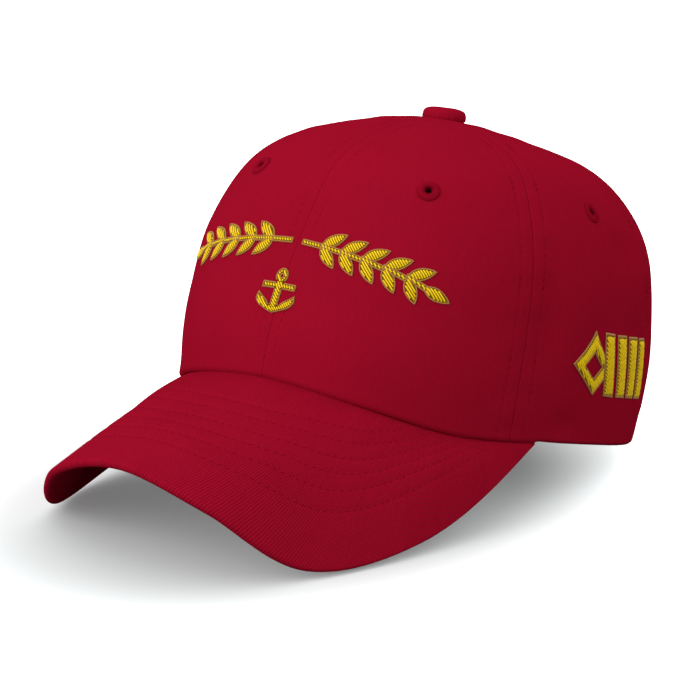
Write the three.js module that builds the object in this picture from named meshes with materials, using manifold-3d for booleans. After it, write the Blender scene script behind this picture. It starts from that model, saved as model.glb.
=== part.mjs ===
// A twill cap: six crown panels, a curved brim, a covered button, six sewn eyelets,
// a strap across the opening in the back, and raised gold embroidery.
// Millimetres, +Z up, the brim towards -Y, the wearer's left towards +X.
// A turn is an angle round the button's axis: 0 at the centre front, positive to the wearer's left.
import * as THREE from "three";
import { TessellateModifier } from "three/addons/modifiers/TessellateModifier.js";
import { mergeVertices } from "three/addons/utils/BufferGeometryUtils.js";
import Module from "manifold-3d";

const wasm = await Module();
wasm.setup();

const degrees = Math.PI / 180;

// Cloth and clearances
const gap = 0.3;
const clothThickness = 1.6;

// Crown, measured from the button's axis and from the surface that the cap stands on
const hemHalfWidth = 78;
const hemFront = 115.5;
const hemBack = 81.5;
const hemSquareness = 2.34;
const crownHeight = 131.5;
const frontHemRise = 51.7;
const brimEndRise = 26.9;
const restLength = 7; // the stretch of the rear hem that lies flat
const panelPuff = 1.2; // how far a panel stands out between its seams
const frontSeamTurn = 60 * degrees;
const backSeamTurn = 115 * degrees;
const dimpleDepth = 3.2; // how far the button draws the cloth down
const dimpleRadius = 7.5;

// Brim
const brimReach = 82.8; // from the front hem to the brim's tip
const brimThickness = 3;
const brimEndTurn = 68.4 * degrees;
const brimSquareness = 2.414;
const leanTip = 2.9; // how far the tip is bent towards the wearer's left
const leanSides = -3.8; // and the edges between tip and ends
const brimBulge = 6.9; // how far its sides arch above a straight sheet
const brimBulgePower = 1.64;
const brimWidest = 0.99; // it stops just short of the point where its edge meets the hem
const tuckFrom = 0.9; // beyond this share the brim thins and draws in towards its end
const tuckDepth = 1.5;
const tuckDrop = 0.6;
const endThickness = 0.4; // at its ends, as a share of brimThickness

// Opening and strap in the back
const archHalfWidth = 34;
const archHeight = 46;
const strapWidth = 19;
const strapThickness = 1.5;
const strapGap = 0.5; // between the strap's layers and the panels
const strapTuck = 10; // how far the strap goes in behind a panel
const strapEndReach = 16; // how far its loose end passes the centre

// Button and eyelets
const buttonRadius = 8.6;
const buttonHeight = 4.5;
const buttonTilt = 8 * degrees; // its back is lower, as the crown is there
const stemRadius = 2.6;
const eyeletRadius = 4.1;
const eyeletHole = 1.4;
const eyeletStand = 0.7;
const eyeletRow = 3.9;

// Embroidery
const threadHeight = 1.1;
const threadFacet = 10; // the longest edge of a facet, so that a piece follows the cloth
const anchorHeight = 16.6;
const anchorRow = 2;
const anchorTurn = -0.9 * degrees;
const laurelTurn = 36 * degrees; // from the centre front to a spray's tip
const laurelRoot = 0.05; // where a spray starts, as a share of laurelTurn
const stemWidth = 1.5;
const laurelRow = 2.9;
const laurelDrop = 0.28; // rows that a spray falls from its root to its tip
const leafLength = 10.5;
const leafWidth = 4.6;
const leafPairs = 5;
const rankTurn = 87.7 * degrees; // at the first bar
const rankRow = 1.56;
const rankHeight = 23.8;
const rankFall = 0.06; // how much the marks fall for each millimetre along
const rankSlant = 0.14; // how much they lean forward for each millimetre up
const barWidth = 8;
const barPitch = 11.7;
const diamondWidth = 28.4;
const diamondBand = 8;
const diamondPitch = 12.5; // from the diamond's centre to the first bar's

// The crown's rows from the hem up to the button. The first three columns are shares of the hem's
// reach, rise is a share of the way from the hem to the top, and the lifts are shares of crownHeight.
const crownRows = [
  { front: 1, side: 1, back: 1, rise: 0, frontLift: 0, backLift: 0 },
  { front: 0.97, side: 1.017, back: 1.145, rise: 0.181, frontLift: 0, backLift: 0 },
  { front: 0.918, side: 1.019, back: 1.161, rise: 0.349, frontLift: 0, backLift: 0 },
  { front: 0.82, side: 0.991, back: 1.068, rise: 0.598, frontLift: 0, backLift: 0 },
  { front: 0.659, side: 0.859, back: 0.953, rise: 0.739, frontLift: 0.085, backLift: 0 },
  { front: 0.462, side: 0.661, back: 0.73, rise: 0.883, frontLift: 0.067, backLift: -0.028 },
  { front: 0.218, side: 0.347, back: 0.401, rise: 0.962, frontLift: 0.047, backLift: -0.024 },
  { front: 0, side: 0, back: 0, rise: 1, frontLift: 0.022, backLift: 0.022 },
];
const topRow = crownRows.length - 1;

// The front hem from the centre to the brim's end: share of the turn, share of the rise above that end
const hemRows = [
  { turn: 0, rise: 1 },
  { turn: 0.4, rise: 0.76 },
  { turn: 0.72, rise: 0.3 },
  { turn: 1, rise: 0 },
];

// The brim's edge from its tip to its end: turn in degrees, height as a share of frontHemRise
const brimRows = [
  { turn: 0, height: 0.751 },
  { turn: 25.7, height: 0.513 },
  { turn: 45, height: 0.068 },
  { turn: 64.3, height: 0.074 },
  { turn: 90, height: brimEndRise / frontHemRise },
];

// Dents and ridges in the crown: where, how wide in degrees and rows, and how deep in shares of
// clothThickness. A negative depth stands out.
const folds = [
  { turn: 66, row: 2.5, wide: 4.5, tall: 0.8, depth: 1.2 },
  { turn: 77, row: 2.35, wide: 6, tall: 0.55, depth: -0.7 },
  { turn: 96, row: 3.2, wide: 7, tall: 0.35, depth: 1 },
  { turn: 102, row: 2.6, wide: 5, tall: 0.7, depth: -0.6 },
  { turn: 75, row: 0.35, wide: 5, tall: 0.3, depth: 0.8 },
  { turn: -56, row: 0, wide: 10, tall: 0.22, depth: -1.6 },
  { turn: -68, row: 2.3, wide: 5, tall: 0.8, depth: 1 },
  { turn: -92, row: 3, wide: 8, tall: 0.4, depth: 0.9 },
  { turn: -104, row: 1.6, wide: 7, tall: 0.6, depth: 0.6 },
  { turn: 140, row: 3.3, wide: 9, tall: 0.5, depth: 0.8 },
  { turn: -146, row: 3.1, wide: 9, tall: 0.5, depth: 0.9 },
];

// A smooth curve through a table's rows. A slope that isn't given comes from the rows.
function curveThrough(xs, ys, x, startSlope, endSlope) {
  const last = xs.length - 1;
  const rate = (i) => (ys[i + 1] - ys[i]) / (xs[i + 1] - xs[i]);
  const slope = (i) => {
    if (i === 0) return startSlope ?? rate(0);
    if (i === last) return endSlope ?? rate(last - 1);
    const before = xs[i] - xs[i - 1];
    const after = xs[i + 1] - xs[i];
    return (rate(i) * before + rate(i - 1) * after) / (before + after);
  };
  let i = 0;
  while (i < last - 1 && x > xs[i + 1]) i += 1;
  const h = xs[i + 1] - xs[i];
  const u = (x - xs[i]) / h;
  const v = 1 - u;
  return (
    (1 + 2 * u) * v * v * ys[i] +
    u * v * v * h * slope(i) +
    u * u * (3 - 2 * u) * ys[i + 1] -
    u * u * v * h * slope(i + 1)
  );
}

// The rounded oval that the hem and the brim's edge follow in plan, in shares of their reach
function oval(turn, squareness) {
  const s = Math.sin(turn);
  const c = Math.cos(turn);
  const scale = (Math.abs(s) ** squareness + Math.abs(c) ** squareness) ** (-1 / squareness);
  return { side: s * scale, front: c * scale };
}

function hemPlan(turn) {
  const { side, front } = oval(turn, hemSquareness);
  return { x: hemHalfWidth * side, y: -front * (front > 0 ? hemFront : hemBack) };
}

const brimEnd = hemPlan(brimEndTurn);
const restLine = hemBack - restLength;

// Behind the brim the hem lies in one plane, down to where it rests on the surface.
const hemPlane = (y) => (brimEndRise * (restLine - y)) / (restLine - brimEnd.y);
const hemPlaneSlope = (() => {
  const step = 0.001;
  return (hemPlane(hemPlan(brimEndTurn * (1 + step)).y) - brimEndRise) / step;
})();

const hemTurns = hemRows.map((r) => r.turn);
const hemRises = hemRows.map((r) => r.rise);

function hemHeight(turn) {
  const round = Math.abs(Math.atan2(Math.sin(turn), Math.cos(turn)));
  if (round >= brimEndTurn) return Math.max(0, hemPlane(hemPlan(round).y));
  const span = frontHemRise - brimEndRise;
  const share = curveThrough(hemTurns, hemRises, round / brimEndTurn, 0, hemPlaneSlope / span);
  return brimEndRise + span * share;
}

const rowNumbers = crownRows.map((_, i) => i);
const columns = Object.fromEntries(
  Object.keys(crownRows[0]).map((name) => [name, crownRows.map((r) => r[name])]),
);
const column = (name, row) => curveThrough(rowNumbers, columns[name], row);

const seamTurns = [-Math.PI, -backSeamTurn, -frontSeamTurn, 0, frontSeamTurn, backSeamTurn, Math.PI];

// How far the cloth stands out from the plain form: the panels' puff and the folds
function standOut(turn, row) {
  const round = Math.atan2(Math.sin(turn), Math.cos(turn));
  const next = Math.max(1, seamTurns.findIndex((t) => t >= round - 1e-9));
  const share = (round - seamTurns[next - 1]) / (seamTurns[next] - seamTurns[next - 1]);
  const upward = Math.sin((Math.PI * row) / topRow);
  let out = panelPuff * Math.sin(Math.PI * share) * upward;
  for (const fold of folds) {
    const across = (round / degrees - fold.turn) / fold.wide;
    const up = (row - fold.row) / fold.tall;
    out -= fold.depth * clothThickness * Math.exp(-across * across - up * up);
  }
  return out;
}

// The crown's outer face
function crownPoint(turn, row) {
  const { x, y } = hemPlan(turn);
  const facing = 0.5 + 0.5 * Math.cos(turn);
  const hem = hemHeight(turn);
  const lift = column("frontLift", row) * facing + column("backLift", row) * (1 - facing);
  const height = hem + column("rise", row) * (crownHeight - hem) + crownHeight * lift;
  const point = new THREE.Vector3(
    x * column("side", row),
    y * column(y < 0 ? "front" : "back", row),
    height,
  );
  const reach = Math.hypot(point.x, point.y);
  point.z -= dimpleDepth * Math.exp(-((reach / dimpleRadius) ** 2));
  const stretch = reach > 1 ? 1 + standOut(turn, row) / reach : 1;
  point.x *= stretch;
  point.y *= stretch;
  return point;
}

function crownNormal(turn, row) {
  const step = 0.01;
  const up = Math.min(row, topRow - 2 * step);
  const low = Math.max(up, step);
  const along = crownPoint(turn + step, low).sub(crownPoint(turn - step, low));
  const upward = crownPoint(turn, low + step).sub(crownPoint(turn, low - step));
  return along.cross(upward).normalize();
}

// A point at a depth inside the crown's outer face
const crownInside = (turn, row, depth) =>
  crownPoint(turn, row).addScaledVector(crownNormal(turn, row), -depth);

// The same, but level with the point on the outer face, as at the hem's lower edge
function crownLevel(turn, row, depth) {
  const { x, y } = crownNormal(turn, row);
  const level = x * x + y * y;
  return crownPoint(turn, row).addScaledVector(new THREE.Vector3(x, y, 0), -depth / level);
}

// A closed wall between two faces, each given as a point for a share across and a share up
function wall(columns, rows, outer, inner) {
  const positions = [];
  for (const face of [outer, inner]) {
    for (let j = 0; j <= rows; j += 1) {
      for (let i = 0; i <= columns; i += 1) positions.push(...face(i / columns, j / rows).toArray());
    }
  }
  const layer = (columns + 1) * (rows + 1);
  const at = (i, j, inside) => (inside ? layer : 0) + j * (columns + 1) + i;
  const index = [];
  const quad = (a, b, c, d) => index.push(a, b, c, a, c, d);
  for (let j = 0; j < rows; j += 1) {
    for (let i = 0; i < columns; i += 1) {
      quad(at(i, j), at(i + 1, j), at(i + 1, j + 1), at(i, j + 1));
      quad(at(i, j, true), at(i, j + 1, true), at(i + 1, j + 1, true), at(i + 1, j, true));
    }
    quad(at(0, j), at(0, j + 1), at(0, j + 1, true), at(0, j, true));
    quad(at(columns, j), at(columns, j, true), at(columns, j + 1, true), at(columns, j + 1));
  }
  for (let i = 0; i < columns; i += 1) {
    quad(at(i, 0), at(i, 0, true), at(i + 1, 0, true), at(i + 1, 0));
    quad(at(i, rows), at(i + 1, rows), at(i + 1, rows, true), at(i, rows, true));
  }
  const geometry = new THREE.BufferGeometry();
  geometry.setAttribute("position", new THREE.Float32BufferAttribute(positions, 3));
  geometry.setIndex(index);
  return geometry;
}

// Conversion to a solid that can be cut or joined, and back
function solidOf(geometry) {
  const bare = geometry.clone();
  bare.deleteAttribute("normal");
  bare.deleteAttribute("uv");
  const merged = mergeVertices(bare, 1e-3);
  return new wasm.Manifold(
    new wasm.Mesh({
      numProp: 3,
      vertProperties: merged.attributes.position.array,
      triVerts: new Uint32Array(merged.index.array),
    }),
  );
}

function geometryOf(solid) {
  const mesh = solid.getMesh();
  const positions = [];
  for (let i = 0; i < mesh.numVert; i += 1) {
    positions.push(...mesh.vertProperties.subarray(i * mesh.numProp, i * mesh.numProp + 3));
  }
  const geometry = new THREE.BufferGeometry();
  geometry.setAttribute("position", new THREE.Float32BufferAttribute(positions, 3));
  geometry.setIndex(Array.from(mesh.triVerts));
  return geometry;
}

const joined = (geometries) =>
  geometryOf(geometries.map(solidOf).reduce((whole, piece) => whole.add(piece)));

// Finishes
const cloth = new THREE.MeshStandardMaterial({ color: 0x930920, roughness: 0.92, metalness: 0 });
const goldThread = new THREE.MeshStandardMaterial({ color: 0xd9a514, roughness: 0.55, metalness: 0 });
const redThread = new THREE.MeshStandardMaterial({ color: 0x7c0a1e, roughness: 0.7, metalness: 0 });

const cap = new THREE.Group();
function addPiece(name, geometry, material) {
  const mesh = new THREE.Mesh(geometry, material);
  mesh.name = name;
  cap.add(mesh);
}

// The row at which the panels end round the button's stem
const stemRow = topRow - (stemRadius + 3 * gap) / (crownRows[topRow - 1].front * hemFront);

// An eyelet stands square to the cloth of its panel.
function placeOnCrown(geometry, turn, row) {
  const turned = new THREE.Quaternion().setFromUnitVectors(
    new THREE.Vector3(0, 1, 0),
    crownNormal(turn, row),
  );
  return geometry.applyQuaternion(turned).translate(...crownPoint(turn, row).toArray());
}

function eyelet(turn) {
  const low = -clothThickness - eyeletStand;
  const profile = [
    new THREE.Vector2(eyeletHole, low),
    new THREE.Vector2(eyeletRadius, low),
    new THREE.Vector2(eyeletRadius, eyeletStand * 0.4),
    new THREE.Vector2((eyeletRadius + eyeletHole) / 2, eyeletStand),
    new THREE.Vector2(eyeletHole, eyeletStand * 0.4),
    new THREE.Vector2(eyeletHole, low),
  ];
  return placeOnCrown(new THREE.LatheGeometry(profile, 14), turn, eyeletRow);
}

function eyeletCutter(turn) {
  const radius = eyeletRadius + gap;
  const length = 6 * clothThickness;
  return placeOnCrown(new THREE.CylinderGeometry(radius, radius, length, 14), turn, eyeletRow);
}

function archCutter() {
  const shape = new THREE.Shape();
  shape.moveTo(-archHalfWidth, -archHeight);
  shape.lineTo(archHalfWidth, -archHeight);
  shape.lineTo(archHalfWidth, 0);
  shape.absellipse(0, 0, archHalfWidth, archHeight, 0, Math.PI, false);
  const depth = 3 * hemBack;
  const prism = new THREE.ExtrudeGeometry(shape, { depth, bevelEnabled: false, curveSegments: 20 });
  return prism.rotateX(Math.PI / 2).translate(0, depth, 0);
}

// Two panels meet at a seam with the gap between them, half of it on each side.
function panel(startTurn, endTurn) {
  const place = (across, up, depth) => {
    const row = up * stemRow;
    const middle = crownPoint((startTurn + endTurn) / 2, row);
    const halfGap = gap / 2 / Math.hypot(middle.x, middle.y);
    const turn = startTurn + halfGap + across * (endTurn - startTurn - 2 * halfGap);
    return up > 0 ? crownInside(turn, row, depth) : crownLevel(turn, row, depth);
  };
  return wall(
    11,
    15,
    (across, up) => place(across, up, 0),
    (across, up) => place(across, up, clothThickness),
  );
}

// Each panel's eyelet stands at its own turn, given in degrees.
const panels = [
  { name: "front_left", start: 0, end: frontSeamTurn, hole: 31 },
  { name: "front_right", start: -frontSeamTurn, end: 0, hole: -28 },
  { name: "side_left", start: frontSeamTurn, end: backSeamTurn, hole: 85 },
  { name: "side_right", start: -backSeamTurn, end: -frontSeamTurn, hole: -86 },
  { name: "back_left", start: backSeamTurn, end: Math.PI, hole: 147.5 },
  { name: "back_right", start: -Math.PI, end: -backSeamTurn, hole: -147.5 },
];

for (const { name, start, end, hole } of panels) {
  const turn = hole * degrees;
  let solid = solidOf(panel(start, end)).subtract(solidOf(eyeletCutter(turn)));
  if (name.startsWith("back")) solid = solid.subtract(solidOf(archCutter()));
  addPiece(name + "_panel", geometryOf(solid), cloth);
  addPiece("eyelet_" + name, eyelet(turn), redThread);
}

// 0 along the brim, rising to 1 at its two ends
const brimTuck = (share) => (Math.max(0, Math.abs(share) - tuckFrom) / (1 - tuckFrom)) ** 2;

// The brim is a sheet from the hem to an edge that arches over the surface.
function brimEdge(share) {
  const turn = (share * Math.PI) / 2;
  const { side, front } = oval(turn, brimSquareness);
  const xs = brimRows.map((r) => r.turn);
  const ys = brimRows.map((r) => r.height);
  const height = frontHemRise * curveThrough(xs, ys, Math.abs(share) * 90, 0);
  const reach = hemFront + brimReach + brimEnd.y;
  const tuck = brimTuck(share);
  const lean = leanTip * Math.cos(turn) ** 2 + leanSides * Math.sin(2 * turn) ** 2;
  return new THREE.Vector3(
    brimEnd.x * side + lean - Math.sign(share) * tuckDepth * tuck,
    brimEnd.y - reach * front,
    height - tuckDrop * tuck,
  );
}

function brimTop(share, out) {
  const hem = crownLevel(share * brimEndTurn, 0, clothThickness);
  hem.z -= 2 * gap;
  const aside = Math.min(Math.abs(share), 1) ** brimBulgePower;
  const point = hem.lerp(brimEdge(share), out);
  point.z += brimBulge * Math.sin(Math.PI * out) * Math.sin(Math.PI * aside);
  return point;
}

function brim() {
  const step = 0.002;
  const under = (share, out) => {
    const across = brimTop(share + step, out).sub(brimTop(share - step, out));
    const inward = brimTop(share, out - step).sub(brimTop(share, out + step));
    const thickness = brimThickness * (1 - (1 - endThickness) * brimTuck(share));
    const down = across.cross(inward).normalize().multiplyScalar(-thickness);
    return brimTop(share, out).add(down);
  };
  const shareOf = (across) => brimWidest * (2 * across - 1);
  return wall(
    36,
    8,
    (across, inward) => brimTop(shareOf(across), 1 - inward),
    (across, inward) => under(shareOf(across), 1 - inward),
  );
}

addPiece("brim", brim(), cloth);

// The strap runs behind the panels' hems, its loose end outside it.
function rowAtHeight(turn, height) {
  let low = 0;
  let high = topRow / 2;
  for (let i = 0; i < 30; i += 1) {
    const middle = (low + high) / 2;
    if (crownPoint(turn, middle).z < height) low = middle;
    else high = middle;
  }
  return low;
}

function backTurnAt(x) {
  const side = Math.abs(x) / hemHalfWidth;
  const back = (1 - side ** hemSquareness) ** (1 / hemSquareness);
  return Math.PI - Math.sign(x) * Math.atan2(side, back);
}

function strapPiece(startX, endX, depth, tip) {
  const place = (across, up, inward) => {
    const turn = backTurnAt(startX + across * (endX - startX));
    const fromEnd = Math.min(1, (1 - across) / 0.2);
    const shrink = 1 - tip * (1 - fromEnd) ** 2;
    const height = strapWidth * (0.5 + (up - 0.5) * shrink);
    return crownLevel(turn, rowAtHeight(turn, height), depth + inward);
  };
  return wall(
    16,
    4,
    (across, up) => place(across, up, 0),
    (across, up) => place(across, up, strapThickness),
  );
}

const strapSide = archHalfWidth + strapTuck;
const endDepth = clothThickness + strapGap;
const strapDepth = endDepth + strapThickness + strapGap;
addPiece("strap", strapPiece(strapSide, -strapSide, strapDepth, 0), cloth);
addPiece("strap_end", strapPiece(strapSide, -strapEndReach, endDepth, 0.5), cloth);

// The button's rim sits on the highest cloth below it, along the plane that the button is tilted to.
function button() {
  const fall = Math.tan(buttonTilt);
  let seat = 0;
  for (let turn = -Math.PI; turn < Math.PI; turn += 15 * degrees) {
    for (let row = topRow; row > topRow - 1; row -= 0.02) {
      const point = crownPoint(turn, row);
      if (Math.hypot(point.x, point.y) > buttonRadius) break;
      seat = Math.max(seat, point.z + point.y * fall);
    }
  }
  seat += gap;
  const stemEnd = crownHeight - 2 * clothThickness - seat;
  const at = (radius, height) =>
    new THREE.Vector2(radius * buttonRadius, height * buttonHeight);
  const profile = [
    new THREE.Vector2(0, stemEnd),
    new THREE.Vector2(stemRadius, stemEnd),
    new THREE.Vector2(stemRadius, 0),
    at(0.9, 0),
    at(1, 0.22),
    at(0.98, 0.45),
    at(0.86, 0.72),
    at(0.6, 0.92),
    at(0.3, 0.99),
    at(0, 1),
  ];
  return new THREE.LatheGeometry(profile, 24).rotateX(Math.PI / 2 - buttonTilt).translate(0, 0, seat);
}

addPiece("button", button(), cloth);

// Millimetres of cloth for each radian and for each row, round a place on the crown
function crownScale(turn, row) {
  const turnStep = 0.05;
  const rowStep = 0.5;
  const across = crownPoint(turn + turnStep, row).distanceTo(crownPoint(turn - turnStep, row));
  const upward = crownPoint(turn, row + rowStep).distanceTo(crownPoint(turn, row - rowStep));
  return { perTurn: across / (2 * turnStep), perRow: upward / (2 * rowStep) };
}

// Lays a flat shape, x along the hem and y up the crown, on the cloth as raised thread.
function embroider(shape, turn, row, height = threadHeight, lift = gap) {
  const plain = new THREE.ExtrudeGeometry(shape, {
    depth: height,
    bevelEnabled: false,
    curveSegments: 4,
  });
  const flat = new TessellateModifier(threadFacet, 8).modify(plain);
  const { perTurn, perRow } = crownScale(turn, row);
  const position = flat.attributes.position;
  for (let i = 0; i < position.count; i += 1) {
    const pointTurn = turn + position.getX(i) / perTurn;
    const pointRow = row + position.getY(i) / perRow;
    const point = crownInside(pointTurn, pointRow, -lift - position.getZ(i));
    position.setXYZ(i, point.x, point.y, point.z);
  }
  return flat;
}

function polygon(points) {
  const shape = new THREE.Shape();
  shape.moveTo(...points[0]);
  for (const point of points.slice(1)) shape.lineTo(...point);
  shape.closePath();
  return shape;
}

const bar = (width, height, x = 0, y = 0) =>
  polygon([
    [x - width / 2, y - height / 2],
    [x + width / 2, y - height / 2],
    [x + width / 2, y + height / 2],
    [x - width / 2, y + height / 2],
  ]);

// The anchor: ring, shank, stock, and arms that come to a point below
function anchor() {
  const unit = anchorHeight;
  const ring = new THREE.Shape();
  ring.absarc(0, unit * 0.36, unit * 0.15, 0, 2 * Math.PI, false);
  ring.holes.push(new THREE.Path().absarc(0, unit * 0.36, unit * 0.05, 0, 2 * Math.PI, true));
  const half = [
    [0.12, -0.45],
    [0.345, -0.331],
    [0.488, -0.14],
    [0.46, 0.02],
    [0.19, -0.18],
    [0.06, -0.29],
  ].map(([x, y]) => [x * unit, y * unit]);
  const mirrored = [...half].reverse().map(([x, y]) => [-x, y]);
  const arms = polygon([[0, -unit / 2], ...half, ...mirrored]);
  const shank = bar(unit * 0.19, unit * 0.64, 0, -unit * 0.04);
  const stock = bar(unit * 0.84, unit * 0.135, 0, unit * 0.17);
  const lay = (shape, share) => embroider(shape, anchorTurn, anchorRow, threadHeight * share);
  return joined([lay(ring, 1), lay(shank, 0.97), lay(stock, 0.94), lay(arms, 0.91)]);
}

addPiece("anchor", anchor(), goldThread);

// A spray of laurel: pairs of leaves along an arched stem, and one at its tip
function leaf(x, y, lean) {
  const outline = [
    [0, 0.14],
    [0.3, 0.5],
    [0.62, 0.4],
    [1, 0],
    [0.62, -0.4],
    [0.3, -0.5],
    [0, -0.14],
  ];
  const points = outline.map(([along, across]) => {
    const u = along * leafLength;
    const v = across * leafWidth;
    return [
      x + u * Math.cos(lean) - v * Math.sin(lean),
      y + u * Math.sin(lean) + v * Math.cos(lean),
    ];
  });
  return polygon(points);
}

function laurel(side) {
  const rootTurn = laurelRoot * laurelTurn;
  const pieces = [];
  const stemSteps = leafPairs + 1;
  const turnAt = (share) => side * (rootTurn + share * (laurelTurn - rootTurn));
  const rowAt = (share) => laurelRow - laurelDrop * share * share;
  const outward = side > 0 ? 0 : Math.PI;
  for (let i = 0; i < stemSteps; i += 1) {
    const share = i / stemSteps;
    const turn = turnAt(share);
    const row = rowAt(share);
    const here = crownPoint(turn, row);
    const there = crownPoint(turnAt(share + 1 / stemSteps), rowAt(share + 1 / stemSteps));
    const run = Math.hypot(there.x - here.x, there.y - here.y);
    const slope = Math.atan2(there.z - here.z, run);
    const length = here.distanceTo(there);
    const turned = (angle) => outward + side * angle;
    const rotate = ([u, v]) => [
      u * Math.cos(turned(slope)) - v * Math.sin(turned(slope)),
      u * Math.sin(turned(slope)) + v * Math.cos(turned(slope)),
    ];
    const overlap = 0.06 * length;
    const stem = [
      [-overlap, -stemWidth / 2],
      [length + overlap, -stemWidth / 2],
      [length + overlap, stemWidth / 2],
      [-overlap, stemWidth / 2],
    ].map(rotate);
    pieces.push(embroider(polygon(stem), turn, row, threadHeight * (0.7 + 0.02 * (i % 2))));
    const leaves = i === 0 ? [] : [0.72, -0.72];
    leaves.forEach((lean, k) => {
      const height = threadHeight * (0.96 + 0.04 * k);
      pieces.push(embroider(leaf(0, 0, turned(slope + lean)), turn, row, height));
    });
    if (i === stemSteps - 1) {
      const [x, y] = rotate([0.75 * length, 0]);
      pieces.push(embroider(leaf(x, y, turned(slope)), turn, row));
    }
  }
  return joined(pieces);
}

addPiece("laurel_left", laurel(1), goldThread);
addPiece("laurel_right", laurel(-1), goldThread);

// Rank marks on the wearer's left: an open diamond and four bars, each leaning forward and set lower
// than the one before it. The diamond is cut off where it meets the first bar.
const rankScale = crownScale(rankTurn, rankRow);
const leant = ([x, y]) => [x - rankSlant * y, y - rankFall * x];

function rankMark(name, outline, hole, along) {
  const shape = polygon(outline.map(leant));
  if (hole) shape.holes.push(polygon(hole.map(leant)));
  const turn = rankTurn + along / rankScale.perTurn;
  const row = rankRow - (rankFall * along) / rankScale.perRow;
  addPiece(name, embroider(shape, turn, row), goldThread);
}

const diamondReach = diamondWidth / 2;
const rankHalf = rankHeight / 2;
const inner = (diamondReach - diamondBand) / diamondReach;
const cut = diamondPitch - barWidth / 2 - gap;
const cutHalf = rankHalf * (1 - cut / diamondReach);
const diamondOutline = [
  [-diamondReach, 0],
  [0, -rankHalf],
  [cut, -cutHalf],
  [cut, cutHalf],
  [0, rankHalf],
];
const diamondHole = [
  [-diamondReach * inner, 0],
  [0, rankHalf * inner],
  [diamondReach * inner, 0],
  [0, -rankHalf * inner],
];
rankMark("rank_diamond", diamondOutline, diamondHole, -diamondPitch);

const barOutline = [
  [-barWidth / 2, -rankHalf],
  [barWidth / 2, -rankHalf],
  [barWidth / 2, rankHalf],
  [-barWidth / 2, rankHalf],
];
for (let i = 0; i < 4; i += 1) rankMark("rank_bar_" + (i + 1), barOutline, null, i * barPitch);

// The cap stands on the surface, centred on its own box.
cap.updateMatrixWorld(true);
const box = new THREE.Box3().setFromObject(cap);
const centre = box.getCenter(new THREE.Vector3());
cap.position.set(-centre.x, -centre.y, -box.min.z);

export default cap;
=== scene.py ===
import math

import bmesh
import bpy
import numpy as np
from mathutils import Matrix, Vector


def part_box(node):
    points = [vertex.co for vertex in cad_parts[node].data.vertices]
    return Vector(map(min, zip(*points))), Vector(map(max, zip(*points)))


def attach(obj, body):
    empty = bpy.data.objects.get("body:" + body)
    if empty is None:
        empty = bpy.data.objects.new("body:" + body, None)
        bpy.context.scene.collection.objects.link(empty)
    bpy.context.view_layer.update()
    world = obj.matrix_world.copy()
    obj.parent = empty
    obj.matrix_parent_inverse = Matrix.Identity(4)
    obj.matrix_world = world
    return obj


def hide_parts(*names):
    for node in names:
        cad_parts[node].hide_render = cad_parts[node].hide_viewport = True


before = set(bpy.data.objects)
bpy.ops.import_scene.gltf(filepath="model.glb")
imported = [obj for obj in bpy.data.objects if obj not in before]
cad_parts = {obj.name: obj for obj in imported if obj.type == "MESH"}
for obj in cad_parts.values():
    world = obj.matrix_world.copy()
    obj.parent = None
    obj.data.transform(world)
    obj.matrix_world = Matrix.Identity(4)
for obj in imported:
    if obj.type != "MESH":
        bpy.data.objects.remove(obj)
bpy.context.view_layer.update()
print("frame loaded")

mm = 0.001
deg = math.pi / 180

# lengths are in millimetres from the button's axis and the surface, turns in degrees from the centre front
crown = {
    "hemHalfWidth": 78,
    "hemFront": 115.5,
    "hemBack": 81.5,
    "hemSquareness": 2.34,
    "height": 131.5,
    "frontHemRise": 51.7,
    "brimEndRise": 26.9,
    "restLength": 7,
    "puff": 1.2,
    "dimpleDepth": 3.2,
    "dimpleRadius": 7.5,
    "frontSeam": 60,
    "backSeam": 115,
    "brimEnd": 68.4,
    "wall": 1.6,
    "topOpening": 3.5,  # under the button, where the panels end
    "columns": 96,
    "rows": 150,
}
crownRows = {  # front, side and back are shares of the hem's reach, lifts are shares of the height
    "front": (1, 0.97, 0.918, 0.82, 0.659, 0.462, 0.218, 0),
    "side": (1, 1.017, 1.019, 0.991, 0.859, 0.661, 0.347, 0),
    "back": (1, 1.145, 1.161, 1.068, 0.953, 0.73, 0.401, 0),
    "rise": (0, 0.181, 0.349, 0.598, 0.739, 0.883, 0.962, 1),
    "frontLift": (0, 0, 0, 0, 0.085, 0.067, 0.047, 0.022),
    "backLift": (0, 0, 0, 0, 0, -0.028, -0.024, 0.022),
}
hemRows = {"turn": (0, 0.4, 0.72, 1), "rise": (1, 0.76, 0.3, 0)}
folds = [  # turn, row, how wide in degrees, how tall in rows, depth in walls
    (66, 2.5, 4.5, 0.8, 1.2),
    (77, 2.35, 6, 0.55, -0.7),
    (96, 3.2, 7, 0.35, 1),
    (102, 2.6, 5, 0.7, -0.6),
    (75, 0.35, 5, 0.3, 0.8),
    (-56, 0, 10, 0.22, -1.6),
    (-68, 2.3, 5, 0.8, 1),
    (-92, 3, 8, 0.4, 0.9),
    (-104, 1.6, 7, 0.6, 0.6),
    (140, 3.3, 9, 0.5, 0.8),
    (-146, 3.1, 9, 0.5, 0.9),
]
topRow = 7
buttonLow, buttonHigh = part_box("button")
axisX = (buttonLow.x + buttonHigh.x) / 2 / mm
axisY = (buttonLow.y + buttonHigh.y) / 2 / mm


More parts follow.
